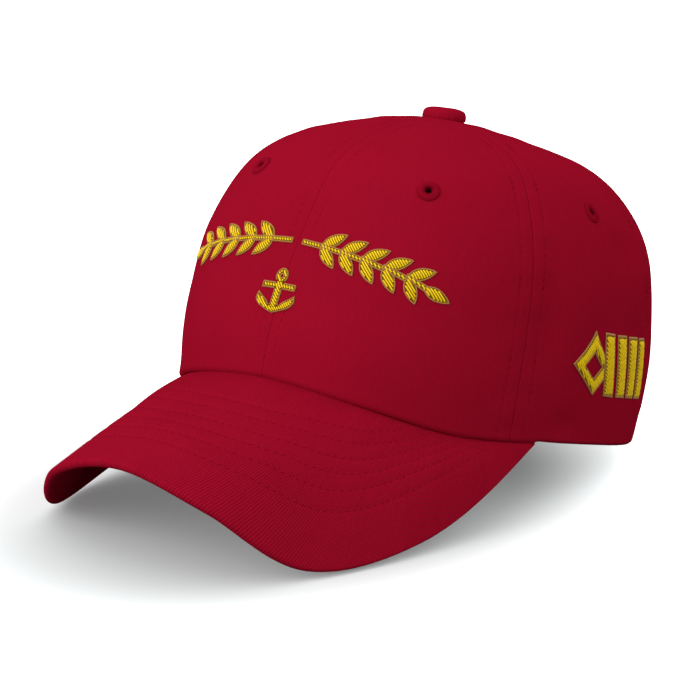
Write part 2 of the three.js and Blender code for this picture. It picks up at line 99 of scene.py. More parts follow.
def curveThrough(xs, ys, x, startSlope=None, endSlope=None):  # a smooth curve through given points
    xs, ys, x = np.asarray(xs, float), np.asarray(ys, float), np.asarray(x, float)
    step = np.diff(xs)
    rate = np.diff(ys) / step
    slope = np.empty(len(xs))
    slope[1:-1] = (rate[1:] * step[:-1] + rate[:-1] * step[1:]) / (step[:-1] + step[1:])
    slope[0] = rate[0] if startSlope is None else startSlope
    slope[-1] = rate[-1] if endSlope is None else endSlope
    i = np.clip(np.searchsorted(xs, x) - 1, 0, len(xs) - 2)
    u = (x - xs[i]) / step[i]
    v = 1 - u
    ends = (1 + 2 * u) * v * v * ys[i] + u * u * (3 - 2 * u) * ys[i + 1]
    return ends + u * v * step[i] * (v * slope[i] - u * slope[i + 1])


def smoothStep(low, high, x):
    t = np.clip((x - low) / (high - low), 0, 1)
    return t * t * (3 - 2 * t)


def bump(x, width):
    return np.exp(-((x / width) ** 2))


def oval(turn, squareness):
    s, c = np.sin(turn), np.cos(turn)
    scale = (np.abs(s) ** squareness + np.abs(c) ** squareness) ** (-1 / squareness)
    return s * scale, c * scale


def hemPlan(turn):
    side, front = oval(turn, crown["hemSquareness"])
    reach = np.where(front > 0, crown["hemFront"], crown["hemBack"])
    return crown["hemHalfWidth"] * side, -front * reach


brimEndTurn = crown["brimEnd"] * deg
brimEndX, brimEndY = (float(v) for v in hemPlan(brimEndTurn))
restLine = crown["hemBack"] - crown["restLength"]


def hemPlane(y):
    return crown["brimEndRise"] * (restLine - y) / (restLine - brimEndY)


hemPlaneSlope = (hemPlane(hemPlan(brimEndTurn * 1.001)[1]) - crown["brimEndRise"]) / 0.001


def hemHeight(turn):
    aside = np.abs(np.arctan2(np.sin(turn), np.cos(turn)))
    rear = np.maximum(0, hemPlane(hemPlan(aside)[1]))
    span = crown["frontHemRise"] - crown["brimEndRise"]
    within = np.minimum(aside / brimEndTurn, 1)
    share = curveThrough(hemRows["turn"], hemRows["rise"], within, 0, hemPlaneSlope / span)
    return np.where(aside >= brimEndTurn, rear, crown["brimEndRise"] + span * share)


def column(name, row):
    return curveThrough(range(topRow + 1), crownRows[name], row)


sideSeams = (crown["frontSeam"], crown["backSeam"], 180)
seamTurns = np.array([-turn for turn in reversed(sideSeams)] + [0, *sideSeams])


def standOut(turn, row):
    around = np.arctan2(np.sin(turn), np.cos(turn)) / deg
    after = np.clip(np.searchsorted(seamTurns, around - 1e-7), 1, len(seamTurns) - 1)
    share = (around - seamTurns[after - 1]) / (seamTurns[after] - seamTurns[after - 1])
    out = crown["puff"] * np.sin(np.pi * share) * np.sin(np.pi * row / topRow)
    for foldTurn, foldRow, wide, tall, depth in folds:
        out -= depth * crown["wall"] * bump(around - foldTurn, wide) * bump(row - foldRow, tall)
    return out


def crownPoint(turn, row):
    turn, row = np.broadcast_arrays(np.asarray(turn, float), np.asarray(row, float))
    x, y = hemPlan(turn)
    facing = 0.5 + 0.5 * np.cos(turn)
    hem = hemHeight(turn)
    lift = column("frontLift", row) * facing + column("backLift", row) * (1 - facing)
    z = hem + column("rise", row) * (crown["height"] - hem) + crown["height"] * lift
    x = x * column("side", row)
    y = y * np.where(y < 0, column("front", row), column("back", row))
    reach = np.hypot(x, y)
    z = z - crown["dimpleDepth"] * bump(reach, crown["dimpleRadius"])
    stretch = np.where(reach > 1, 1 + standOut(turn, row) / np.maximum(reach, 1), 1)
    return np.stack([x * stretch, y * stretch, z], -1)


def unit(v):
    return v / np.maximum(np.linalg.norm(v, axis=-1, keepdims=True), 1e-9)


def crownNormal(turn, row):
    step = 0.01
    row = np.clip(row, step, topRow - 2 * step)
    along = crownPoint(turn + step, row) - crownPoint(turn - step, row)
    upward = crownPoint(turn, row + step) - crownPoint(turn, row - step)
    return unit(np.cross(along, upward))


def onCrown(turn, row, out):
    return crownPoint(turn, row) + crownNormal(turn, row) * np.asarray(out)[..., None]


def crownLevel(turn, row, depth):
    n = crownNormal(turn, row)
    flat = n * np.array([1, 1, 0])
    return crownPoint(turn, row) - flat * (np.asarray(depth) / (flat**2).sum(-1))[..., None]


def crownScale(turn, row):  # millimetres of cloth for each radian and for each row
    across = np.linalg.norm(crownPoint(turn + 0.05, row) - crownPoint(turn - 0.05, row)) / 0.1
    upward = np.linalg.norm(crownPoint(turn, row + 0.5) - crownPoint(turn, row - 0.5))
    return across, upward


def runLengths(points):  # how far along a line of points each one lies
    return np.concatenate([[0], np.cumsum(np.linalg.norm(np.diff(points, axis=0), axis=1))])


def alongLine(values, runs, places):
    return np.stack([np.interp(places, runs, one) for one in np.transpose(values)], -1)


def placed(points):
    return (np.asarray(points) + np.array([axisX, axisY, 0])) * mm


def gridFaces(bm, columns, rows):
    made = bmesh.ops.create_grid(bm, x_segments=columns, y_segments=rows, size=0.5)["verts"]
    across = np.array([v.co.x for v in made]) + 0.5
    up = np.array([v.co.y for v in made]) + 0.5
    return made, across, up


def setPlaces(verts, points):
    for v, p in zip(verts, placed(points)):
        v.co = p


def closeMesh(bm, distance=0.000002, fill=False):
    bmesh.ops.remove_doubles(bm, verts=bm.verts, dist=distance)
    if fill:
        bmesh.ops.holes_fill(bm, edges=[e for e in bm.edges if e.is_boundary], sides=0)
    bmesh.ops.recalc_face_normals(bm, faces=bm.faces)


def addPiece(name, bm, material, replaced=()):
    mesh = bpy.data.meshes.new(name)
    bm.to_mesh(mesh)
    bm.free()
    mesh.materials.append(material)
    mesh.shade_smooth()
    piece = bpy.data.objects.new(name, mesh)
    bpy.context.scene.collection.objects.link(piece)
    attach(piece, "root")
    if replaced:
        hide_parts(*replaced)
    return piece


# shader groups
def newGroup(name, inputs):  # a number, a colour or, where no value is given, a vector
    kinds = {float: "Float", tuple: "Color", type(None): "Vector"}
    group = bpy.data.node_groups.new(name, "ShaderNodeTree")
    for label, value in inputs.items():
        kind = "NodeSocket" + kinds[type(value)]
        socket = group.interface.new_socket(label, in_out="INPUT", socket_type=kind)
        if value is not None:
            socket.default_value = value
    for label, kind in {"Colour": "Color", "Height": "Float", "Roughness": "Float"}.items():
        group.interface.new_socket(label, in_out="OUTPUT", socket_type="NodeSocket" + kind)
    given, result = group.nodes.new("NodeGroupInput"), group.nodes.new("NodeGroupOutput")
    return group, given.outputs, result.inputs


def mathNode(tree, operation, *values, clamp=False):
    node = tree.nodes.new("ShaderNodeMath")
    node.operation = operation
    node.use_clamp = clamp
    for socket, value in zip(node.inputs, values):
        if isinstance(value, (int, float)):
            socket.default_value = value
        else:
            tree.links.new(value, socket)
    return node.outputs[0]


def noiseNode(tree, vector, scale, detail=2.0, roughness=0.5):
    node = tree.nodes.new("ShaderNodeTexNoise")
    node.inputs["Scale"].default_value = scale
    node.inputs["Detail"].default_value = detail
    node.inputs["Roughness"].default_value = roughness
    tree.links.new(vector, node.inputs["Vector"])
    return node.outputs["Fac"]


def stretched(tree, vector, turn, scale):
    node = tree.nodes.new("ShaderNodeMapping")
    node.inputs["Rotation"].default_value = (0, 0, turn * deg)
    node.inputs["Scale"].default_value = scale
    tree.links.new(vector, node.inputs["Vector"])
    return node.outputs["Vector"]


def twillGroup():  # diagonal ribs of thread, worked in millimetres along the cloth
    t, given, result = newGroup(
        "twill",
        {"Cloth": None, "Pitch": 0.8, "Lean": 0.4, "Colour": (1, 0, 0, 1), "Contrast": 0.2, "Rib": 0.35},
    )
    cloth = given["Cloth"]
    split = t.nodes.new("ShaderNodeSeparateXYZ")
    t.links.new(cloth, split.inputs[0])
    leaning = mathNode(t, "MULTIPLY", split.outputs["Y"], given["Lean"])
    across = mathNode(t, "SUBTRACT", split.outputs["X"], leaning)
    across = mathNode(t, "MULTIPLY_ADD", noiseNode(t, cloth, 0.35), 0.5, across)
    rib = mathNode(t, "DIVIDE", across, given["Pitch"])
    ribWave = mathNode(t, "SINE", mathNode(t, "MULTIPLY", rib, 2 * math.pi))
    under = mathNode(t, "DIVIDE", split.outputs["Y"], given["Pitch"])
    underWave = mathNode(t, "SINE", mathNode(t, "MULTIPLY", under, 5.2 * math.pi))
    weave = mathNode(t, "MULTIPLY_ADD", underWave, 0.25, ribWave)
    ribs = mathNode(t, "MULTIPLY", weave, given["Rib"])
    fibre = noiseNode(t, stretched(t, cloth, -22, (2.4, 0.5, 1)), 1.6, 3, 0.6)
    slub = noiseNode(t, stretched(t, cloth, 0, (1, 0.12, 1)), 0.9)
    broad = noiseNode(t, cloth, 0.03, 3)
    shade = ribs
    for noise, weight in ((fibre, 1), (slub, 0.5), (broad, 0.6)):
        shade = mathNode(t, "MULTIPLY_ADD", mathNode(t, "SUBTRACT", noise, 0.5), weight, shade)
    tone = t.nodes.new("ShaderNodeHueSaturation")
    t.links.new(mathNode(t, "MULTIPLY_ADD", shade, given["Contrast"], 1), tone.inputs["Value"])
    t.links.new(given["Colour"], tone.inputs["Color"])
    t.links.new(tone.outputs["Color"], result["Colour"])
    t.links.new(mathNode(t, "MULTIPLY_ADD", fibre, 0.9, ribs), result["Height"])
    t.links.new(mathNode(t, "MULTIPLY_ADD", weave, -0.05, 0.92), result["Roughness"])
    return t


def threadGroup():  # lustrous sewing thread: fine strands along X of its own map, uneven in tone, and darkened towards its edges across Y as painted shade of the grooves between threads
    colours = {"Bright": (1, 1, 0, 1), "Dark": (0.3, 0.2, 0, 1)}
    t, given, result = newGroup(
        "thread", {"Strand": None, "Place": None, **colours, "Darkness": 0.5, "EdgeShade": 1000.0}
    )
    strand = noiseNode(t, stretched(t, given["Strand"], 0, (0.6, 9, 1)), 1)
    patch = noiseNode(t, given["Place"], 1900, 3, 0.65)
    ramp = t.nodes.new("ShaderNodeMapRange")
    ramp.inputs["From Min"].default_value = 0.45
    ramp.inputs["From Max"].default_value = 0.95
    tone = mathNode(t, "MULTIPLY_ADD", strand, 0.5, mathNode(t, "MULTIPLY", patch, 0.9))
    t.links.new(tone, ramp.inputs["Value"])
    worn = mathNode(t, "MULTIPLY", ramp.outputs[0], given["Darkness"])
    split = t.nodes.new("ShaderNodeSeparateXYZ")
    t.links.new(given["Strand"], split.inputs[0])
    # painted shade: the thread's colour darkens towards its edges across Y, standing in for the shade in
    # the grooves between threads
    aside = mathNode(t, "DIVIDE", mathNode(t, "ABSOLUTE", split.outputs["Y"]), given["EdgeShade"])
    mix = t.nodes.new("ShaderNodeMix")
    mix.data_type = "RGBA"
    share = mathNode(t, "ADD", worn, mathNode(t, "POWER", aside, 2), clamp=True)
    t.links.new(share, mix.inputs["Factor"])
    t.links.new(given["Bright"], mix.inputs["A"])
    t.links.new(given["Dark"], mix.inputs["B"])
    t.links.new(mix.outputs["Result"], result["Colour"])
    t.links.new(strand, result["Height"])
    t.links.new(mathNode(t, "MULTIPLY_ADD", strand, 0.25, 0.35), result["Roughness"])
    return t


twill = twillGroup()
thread = threadGroup()


def newMaterial(name, sheen, specular):
    material = bpy.data.materials.new(name)
    material.use_nodes = True
    tree = material.node_tree
    shader = tree.nodes["Principled BSDF"]
    shader.inputs["Sheen Weight"].default_value = sheen
    shader.inputs["Sheen Roughness"].default_value = 0.35
    shader.inputs["Specular IOR Level"].default_value = specular
    return material, tree, shader


def addEffect(tree, shader, group, values, relief, depth):  # a group that reads the cloth's map
    node = tree.nodes.new("ShaderNodeGroup")
    node.node_tree = group
    for label, value in values.items():
        node.inputs[label].default_value = value
    uv = tree.nodes.new("ShaderNodeUVMap")
    uv.uv_map = "cloth"
    tree.links.new(uv.outputs[0], node.inputs[0])
    tree.links.new(node.outputs["Colour"], shader.inputs["Base Color"])
    tree.links.new(node.outputs["Roughness"], shader.inputs["Roughness"])
    raised = tree.nodes.new("ShaderNodeBump")
    raised.inputs["Strength"].default_value = relief
    raised.inputs["Distance"].default_value = depth
    tree.links.new(node.outputs["Height"], raised.inputs["Height"])
    tree.links.new(raised.outputs[0], shader.inputs["Normal"])
    return node


def clothMaterial(name, colour, pitch, lean, contrast, relief, rib):
    material, tree, shader = newMaterial(name, 0, 0)
    values = {"Colour": (*colour, 1), "Pitch": pitch, "Lean": lean, "Contrast": contrast, "Rib": rib}
    addEffect(tree, shader, twill, values, relief, 0.0002)
    return material


# edge: the distance across Y from a thread's middle at which it is fully darkened with painted shade; 1000
# leaves it even
def threadMaterial(name, bright, dark, darkness, specular=0, edge=1000, lustre=0):
    material, tree, shader = newMaterial(name, lustre, specular)
    shader.inputs["Sheen Tint"].default_value = (*bright, 1)
    values = {"Bright": (*bright, 1), "Dark": (*dark, 1), "Darkness": darkness, "EdgeShade": edge}
    node = addEffect(tree, shader, thread, values, 0.6, 0.0001)
    tree.links.new(tree.nodes.new("ShaderNodeTexCoord").outputs["Object"], node.inputs["Place"])
    return material


finishes = {
    "red": (0.268, 0.0035, 0.016),
    "redBrim": (0.275, 0.0036, 0.017),
    "redThread": (0.262, 0.0034, 0.016),
    "redThreadDark": (0.2, 0.002, 0.011),
    "gold": (1.0, 0.7, 0.0003),
    "goldDark": (0.45, 0.27, 0.0003),
    "tan": (0.44, 0.22, 0.055),
    "tanDark": (0.25, 0.11, 0.025),
    # under: a darkened gold for the pad beneath the embroidery, showing in the gaps between threads as
    # painted shade
    "under": (0.16, 0.085, 0.0005),
}
redTwill = clothMaterial(
    "red twill", finishes["red"], pitch=0.8, lean=0.42, contrast=0.24, relief=0.35, rib=0.3
)
brimTwill = clothMaterial(
    "brim twill", finishes["redBrim"], pitch=0.9, lean=0.2, contrast=0.36, relief=0.5, rib=0.55
)
gold = (finishes["gold"], finishes["goldDark"])
redThread = threadMaterial("red thread", finishes["redThread"], finishes["redThreadDark"], darkness=0.6)
# the gold threads are darkened towards their edges with painted shade of the grooves between them
goldThread = threadMaterial("gold thread", *gold, darkness=0.2, specular=0.2, edge=0.3, lustre=1)
# the rank marks on the side panel get a lighter copy of the gold thread, less darkened along and across
# its strands: painted light making up for the shade on that side
rankThreadPaintedLighter = threadMaterial("rank gold thread painted lighter", *gold, darkness=0.1, specular=0.2, edge=0.5, lustre=1)
tanThread = threadMaterial("tan thread", finishes["tan"], finishes["tanDark"], darkness=0.7, specular=0.12)
padShadeThread = threadMaterial("pad painted shade", finishes["under"], finishes["under"], darkness=0.5)
print("materials done")


def setCloth(bm, uvs):  # the cloth's own map, in millimetres
    layer = bm.loops.layers.uv.get("cloth") or bm.loops.layers.uv.new("cloth")
    bm.verts.index_update()
    for face in bm.faces:
        for loop in face.loops:
            loop[layer].uv = uvs[loop.vert.index]


seam = {
    "dip": 0.32,
    "dipWidth": 0.4,
    "allowance": 7,
    "lift": 0.12,
    "stitchAside": 5.2,
    "groove": 0.22,
    "grooveWidth": 0.7,
    "hemCurl": 1.1,
    "hemCurlHeight": 1.7,
    "pucker": 0.22,
    "centreShare": 0.45,  # the centre front seam is pressed flatter than the others
    "hemSag": 0.75,
}
arch = {"halfWidth": 34, "height": 46, "stitchAside": 6, "steps": 60}
stemRow = topRow - crown["topOpening"] / (crownRows["front"][topRow - 1] * crown["hemFront"])


def rowAtHeight(turn, height):  # the row at which the crown reaches a height
    low = np.zeros(np.broadcast(turn, height).shape)
    high = low + topRow / 2
    for _ in range(30):
        middle = (low + high) / 2
        below = crownPoint(turn, middle)[..., 2] < height
        low, high = np.where(below, middle, low), np.where(below, high, middle)
    return low


def backTurnAt(x):
    side = np.clip(np.abs(x) / crown["hemHalfWidth"], 0, 1)
    back = (1 - side ** crown["hemSquareness"]) ** (1 / crown["hemSquareness"])
    return np.pi - np.sign(x) * np.arctan2(side, back)


def archTurn(row, x):  # the turn at which the cloth of a row crosses x, on the wearer's left
    turn = backTurnAt(x / column("side", row))
    for _ in range(6):
        point = crownPoint(turn, row)
        turn = turn + (point[..., 0] - x) / np.maximum(np.hypot(point[..., 0], point[..., 1]), 1)
    return turn


def puckers(along, phase):
    return np.sin(along / 2.1 + phase) * 0.5 + np.sin(along / 5.3 + 2 * phase) * 0.5


rowSamples = np.linspace(0, topRow, 141)


def rowLengths(turn):  # millimetres up the cloth from the hem
    return runLengths(crownPoint(turn, rowSamples))


def clothRelief(turn, row, start, end):  # how far the cloth stands out from the plain crown
    point = crownPoint(turn, row)
    reach = np.hypot(point[..., 0], point[..., 1])
    out = np.zeros(np.shape(turn))
    for edge in (start, end):
        along = np.interp(row, rowSamples, rowLengths(edge))
        aside = np.abs(turn - edge) * reach
        one = -seam["dip"] * bump(aside, seam["dipWidth"])
        one += seam["lift"] * (1 - smoothStep(seam["allowance"] - 1.4, seam["allowance"] + 0.6, aside))
        one -= seam["groove"] * bump(aside - seam["stitchAside"], seam["grooveWidth"])
        one += seam["pucker"] * puckers(along, edge * 3) * bump(aside - 4, 5)
        out += one * (seam["centreShare"] if edge == 0 else 1)
    return out


def archRows(up):  # the rows of a back panel and the turn of its edge, beside the opening and above it
    archShare = arch["steps"] / crown["rows"]
    archRow = float(rowAtHeight(np.pi, arch["height"]))
    beside = up < archShare
    lean = np.minimum(up / archShare, 1) * np.pi / 2
    low = rowSamples[:70]
    rearRow = np.interp(arch["height"] * np.sin(lean), column("rise", low) * crown["height"], low)
    above = np.clip((up - archShare) / (1 - archShare), 0, 1)
    row = np.where(beside, rearRow, archRow + (stemRow - archRow) * above)
    edge = np.where(beside, archTurn(row, arch["halfWidth"] * np.cos(lean)), np.pi)
    return row, edge, beside


def panelPiece(name, startDegrees, endDegrees, eyeletDegrees):
    bm = bmesh.new()
    verts, across, up = gridFaces(bm, crown["columns"], crown["rows"])
    across = across - 0.75 * np.sin(2 * np.pi * across) / (2 * np.pi)  # closer together at the seams
    start, end = startDegrees * deg, endDegrees * deg
    left, right, row = start, end, (0.35 * up + 0.65 * up**2) * stemRow  # closer together at the hem
    isBack = name.startswith("back")
    if isBack:
        row, edge, beside = archRows(up)
        left, right = (start, edge) if start > 0 else (-edge, end)
    turn = left + across * (right - left)
    relief = clothRelief(turn, row, start, end)
    plain = crownPoint(turn, row)
    reach = np.hypot(plain[:, 0], plain[:, 1])
    fromHem = np.linalg.norm(plain - crownPoint(turn, np.zeros(len(row))), axis=1)
    if isBack:
        fromArch = np.where(beside, np.abs(np.abs(turn) - edge) * reach, 99)
        overTop = np.hypot(plain[:, 0] / arch["halfWidth"], plain[:, 2] / arch["height"]) - 1
        fromArch = np.minimum(fromArch, np.where(overTop > -0.01, overTop * arch["height"] * 0.9, 99))
        relief -= seam["groove"] * bump(fromArch - arch["stitchAside"], seam["grooveWidth"])
        fromHem = np.minimum(fromHem, fromArch)
    relief -= seam["hemCurl"] * np.clip(1 - fromHem / seam["hemCurlHeight"], 0, 1) ** 2
    points = plain + crownNormal(turn, row) * relief[:, None]
    onBrim = 1 - smoothStep(brimEndTurn * 0.97, brimEndTurn, np.abs(turn))
    points[:, 2] -= seam["hemSag"] * (1 - smoothStep(0, 3, fromHem)) * onBrim
    points[:, 2] = np.maximum(points[:, 2], 0)
    setPlaces(verts, points)
    middle = (start + end) / 2
    along = np.interp(row, rowSamples, rowLengths(middle))
    setCloth(bm, np.stack([(turn - middle) * reach, along], 1))
    perTurn, perRow = crownScale(eyeletDegrees * deg, eyelet["row"])
    fromEyelet = np.hypot((turn - eyeletDegrees * deg) * perTurn, (row - eyelet["row"]) * perRow)
    holeVerts = {v for v, distance in zip(verts, fromEyelet) if distance < eyelet["hole"] + eyelet["lap"]}
    cut = [f for f in bm.faces if any(v in holeVerts for v in f.verts)]
    bmesh.ops.delete(bm, geom=cut, context="FACES")
    wall = addPiece(name + "_cloth", bm, redTwill, [name + "_panel"]).modifiers.new("wall", "SOLIDIFY")
    wall.thickness = crown["wall"] * mm
    wall.offset = -1


eyelet = {"radius": 4.1, "hole": 1.25, "lap": 0.9, "stand": 0.95, "row": 3.9, "rays": 44, "depth": 2.1}
panels = [  # name, start, end and the turn of the panel's eyelet
    ("front_left", 0, crown["frontSeam"], 31),
    ("front_right", -crown["frontSeam"], 0, -28),
    ("side_left", crown["frontSeam"], crown["backSeam"], 85),
    ("side_right", -crown["backSeam"], -crown["frontSeam"], -86),
    ("back_left", crown["backSeam"], 180, 147.5),
    ("back_right", -180, -crown["backSeam"], -147.5),
]
for panelFacts in panels:
    panelPiece(*panelFacts)
print("panels done")

brim = {
    "reach": 82.8,
    "thickness": 3,
    "squareness": 2.414,
    "leanTip": 2.9,
    "leanSides": -3.8,
    "widest": 0.99,
    "turns": (0, 25.7, 45, 64.3, 90),
    "heights": (0.751, 0.513, 0.068, 0.074, crown["brimEndRise"] / crown["frontHemRise"]),  # of that rise
    "tuckFrom": 0.9,
    "tuckDepth": 1.5,
    "tuckDrop": 0.6,
    "endThickness": 0.4,
    "bulge": 6.9,
    "bulgePower": 1.64,
    "rowsFromEdge": (21, 29.5, 37, 44.5, 53.5, 62),
    "groove": 0.26,
    "grooveWidth": 0.9,
    "hemGap": 0.45,
    "hemDip": 0.35,
    "hemDipWidth": 3,
    "columns": 150,
    "topRows": 90,
    "roundRows": 8,
    "underRows": 44,
}


def brimTuck(share):  # 0 along the brim, rising to 1 at its two ends
    return (np.maximum(0, np.abs(share) - brim["tuckFrom"]) / (1 - brim["tuckFrom"])) ** 2


def brimEdge(share):
    turn = share * np.pi / 2
    side, front = oval(turn, brim["squareness"])
    height = crown["frontHemRise"] * curveThrough(brim["turns"], brim["heights"], np.abs(share) * 90, 0)
    reach = crown["hemFront"] + brim["reach"] + brimEndY
    tuck = brimTuck(share)
    lean = brim["leanTip"] * np.cos(turn) ** 2 + brim["leanSides"] * np.sin(2 * turn) ** 2
    x = brimEndX * side + lean - np.sign(share) * brim["tuckDepth"] * tuck
    return np.stack([x, brimEndY - reach * front, height - brim["tuckDrop"] * tuck], -1)


def brimHem(share):
    hem = crownLevel(share * brimEndTurn, np.zeros(np.shape(share)), crown["wall"])
    return hem - np.array([0, 0, brim["hemGap"]])


def brimTop(share, out):  # a ruled sheet that bulges towards its sides
    aside = np.minimum(np.abs(share), 1) ** brim["bulgePower"]
    rise = brim["bulge"] * np.sin(np.pi * np.asarray(out)) * np.sin(np.pi * aside)
    out = np.asarray(out)[..., None]
    return brimHem(share) * (1 - out) + brimEdge(share) * out + rise[..., None] * np.array([0, 0, 1])


def brimNormal(share, out):
    step = 0.002
    across = brimTop(share + step, out) - brimTop(share - step, out)
    outward = brimTop(share, out + step) - brimTop(share, out - step)
    return unit(np.cross(across, outward)) * -1


def brimRelief(share, out):
    length = np.linalg.norm(brimEdge(share) - brimHem(share), axis=-1)
    relief = np.zeros(np.shape(out))
    for distance in brim["rowsFromEdge"]:
        fade = smoothStep(2, 7, length - distance)
        relief -= brim["groove"] * bump((1 - out) * length - distance, brim["grooveWidth"]) * fade
    aside = np.abs(share)  # the dip at the hem lies between the brim's middle and its ends
    dipped = smoothStep(0.2, 0.5, aside) * (1 - smoothStep(0.45, 0.75, aside))
    return relief - brim["hemDip"] * bump(out * length, brim["hemDipWidth"]) * dipped


def brimPiece():
    bm = bmesh.new()
    total = brim["topRows"] + brim["roundRows"] + brim["underRows"]
    verts, across, around = gridFaces(bm, brim["columns"], total + 1)
    share = brim["widest"] * (2 * across - 1)
    outward = brimEdge(share) - brimHem(share)
    length = np.linalg.norm(outward, axis=1)
    half = brim["thickness"] / 2 * (1 - (1 - brim["endThickness"]) * brimTuck(share))
    inset = np.minimum(half / length, 0.45)
    step = np.round(around * (total + 1))
    step = np.where(step > total, 0, step)  # the last row meets the first and closes the edge at the hem
    topEnd, roundEnd = brim["topRows"], brim["topRows"] + brim["roundRows"]
    topShare = np.clip(step / topEnd, 0, 1)
    underShare = np.clip((step - roundEnd) / (total - roundEnd), 0, 1)
    out = np.where(step <= topEnd, topShare, 1 - underShare) * (1 - inset)
    lean = np.clip((step - topEnd) / brim["roundRows"], 0, 1) * np.pi
    level = (half + brimRelief(share, out)) * np.cos(lean) - half
    points = brimTop(share, out) + brimNormal(share, out) * level[:, None]
    points += unit(outward) * (half * np.sin(lean))[:, None]
    points[:, 2] = np.maximum(points[:, 2], 0.05)
    setPlaces(verts, points)
    middle = np.linspace(-1, 1, 201)
    runs = runLengths(brimTop(middle, np.full(201, 0.6)))
    along = np.interp(share, middle, runs - runs[100])
    setCloth(bm, np.stack([along, -out * length], 1))
    closeMesh(bm, fill=True)
    addPiece("brim_cloth", bm, brimTwill, ["brim"])


brimPiece()
print("brim done")

button = {"radius": 8.6, "height": 4.5, "tilt": 8, "around": 40, "up": 20, "sunk": 1.5}


def buttonPiece():  # a ball pressed flat, leaning back with the crown's top
    bm = bmesh.new()
    bmesh.ops.create_uvsphere(bm, u_segments=button["around"], v_segments=button["up"], radius=1)
    lean = button["tilt"] * deg
    seat = buttonHigh.z / mm - 0.92 * button["height"] * math.cos(lean)
    seat -= 0.6 * button["radius"] * math.sin(lean)
    verts = list(bm.verts)
    co = np.array([v.co for v in verts])
    flat = np.hypot(co[:, 0], co[:, 1])
    turn = np.arctan2(co[:, 1], co[:, 0])
    swell = np.where(co[:, 2] > 0, np.abs(co[:, 2]) ** 0.8, -(np.abs(co[:, 2]) ** 0.7))
    z = button["height"] / 2 * (0.9 + np.where(swell > 0, swell * 1.1, swell * 0.9))
    z += 0.12 * np.sin(turn * 6) * flat * (1 - flat) * 4 * (co[:, 2] > 0)
    z -= button["sunk"] * (1 - smoothStep(-0.2, 0.6, co[:, 2]))
    around = np.where(flat > 0, button["radius"] * flat**0.75 / np.maximum(flat, 1e-6), 0)
    x, y = co[:, 0] * around, co[:, 1] * around
    across, upward = y * math.cos(lean) + z * math.sin(lean), z * math.cos(lean) - y * math.sin(lean)
    points = np.stack([x, across, seat + upward], 1)
    setPlaces(verts, points)
    setCloth(bm, points[:, :2])
    smoothing = addPiece("button_cloth", bm, redTwill, ["button"]).modifiers.new("smooth", "SUBSURF")
    smoothing.levels = smoothing.render_levels = 1


buttonPiece()

stitch = {
    "length": 2.3,
    "pitch": 2.9,
    "width": 0.34,
    "stand": 0.08,
    "bow": 0.22,
    "slant": 4,
    "sides": 6,
    "steps": 6,
}


def threadMesh():
    bm = bmesh.new()
    bm.loops.layers.uv.new("cloth")
    return bm


def mapThreads(bm, verts, uvs, groups):  # faces that aren't within one group from 0 up are taken out
    layer = bm.loops.layers.uv["cloth"]
    spot, group = dict(zip(verts, uvs)), dict(zip(verts, groups))
    gone = []
    for face in {f for v in verts for f in v.link_faces}:
        met = {group[v] for v in face.verts}
        if len(met) > 1 or -1 in met:
            gone.append(face)
        for loop in face.loops:
            loop[layer].uv = spot[loop.vert]
    if gone:
        bmesh.ops.delete(bm, geom=gone, context="FACES")


def addStitches(bm, points, normals):  # a row of stitches along a line, cut from one long tube
    runs = runLengths(points)
    places = np.arange(stitch["pitch"] / 2, runs[-1] - stitch["pitch"] / 2, stitch["pitch"])
    if not len(places):
        return
    sides, steps = stitch["sides"], stitch["steps"]
    total = len(places) * (steps + 1) - 1
    verts, along, around = gridFaces(bm, total, sides)
    spot = np.round(along * total).astype(int)
    which, share = spot // (steps + 1), (spot % (steps + 1)) / steps
    place = places[which]
    up = unit(alongLine(normals, runs, place))
    ahead = unit(alongLine(points, runs, place + 0.5) - alongLine(points, runs, place - 0.5))
    aside = np.cross(up, ahead)
    ahead = ahead + aside * math.tan(stitch["slant"] * deg)
    radius = stitch["width"] / 2 * np.sqrt(np.clip(1 - (2 * share - 1) ** 2, 0, 1)) ** 0.8
    lean = around * 2 * np.pi
    rise = radius * np.sin(lean) - stitch["bow"] * (2 * share - 1) ** 2
    centre = alongLine(points, runs, place) + ahead * ((share - 0.5) * stitch["length"])[:, None]
    setPlaces(verts, centre + aside * (radius * np.cos(lean))[:, None] + up * rise[:, None])
    mapThreads(bm, verts, np.stack([share * stitch["length"], lean * stitch["width"]], 1), which)


def seamStitches():
    bm = threadMesh()
    rows = np.linspace(0.12, topRow - 0.62, 160)
    aboveArch = rows > float(rowAtHeight(np.pi, arch["height"] + 6))
    out = seam["lift"] - seam["groove"] + 0.02
    for seamTurn in seamTurns[1:]:
        keep = aboveArch if seamTurn == 180 else rows > 0
        base = np.full(len(rows), seamTurn * deg)
        here = crownPoint(base, rows)
        aside = seam["stitchAside"] / np.maximum(np.hypot(here[:, 0], here[:, 1]), 12)
        for turn in (base - aside, base + aside):
            addStitches(bm, onCrown(turn, rows, out)[keep], crownNormal(turn, rows)[keep])
    closeMesh(bm)
    addPiece("seam_stitches", bm, redThread)


def brimStitches():
    bm = threadMesh()
    share = np.linspace(-0.88, 0.88, 400)
    length = np.linalg.norm(brimEdge(share) - brimHem(share), axis=1)
    rise = stitch["stand"] - brim["groove"]
    for distance in brim["rowsFromEdge"]:
        inside = length - distance > 4
        part = share[inside]
        out = 1 - distance / length[inside]
        normal = brimNormal(part, out)
        top = brimTop(part, out)
        addStitches(bm, top + normal * rise, normal)
        addStitches(bm, top - normal * (brim["thickness"] + rise), -normal)
    closeMesh(bm)
    addPiece("brim_stitches", bm, redThread)


seamStitches()
brimStitches()
print("stitches done")


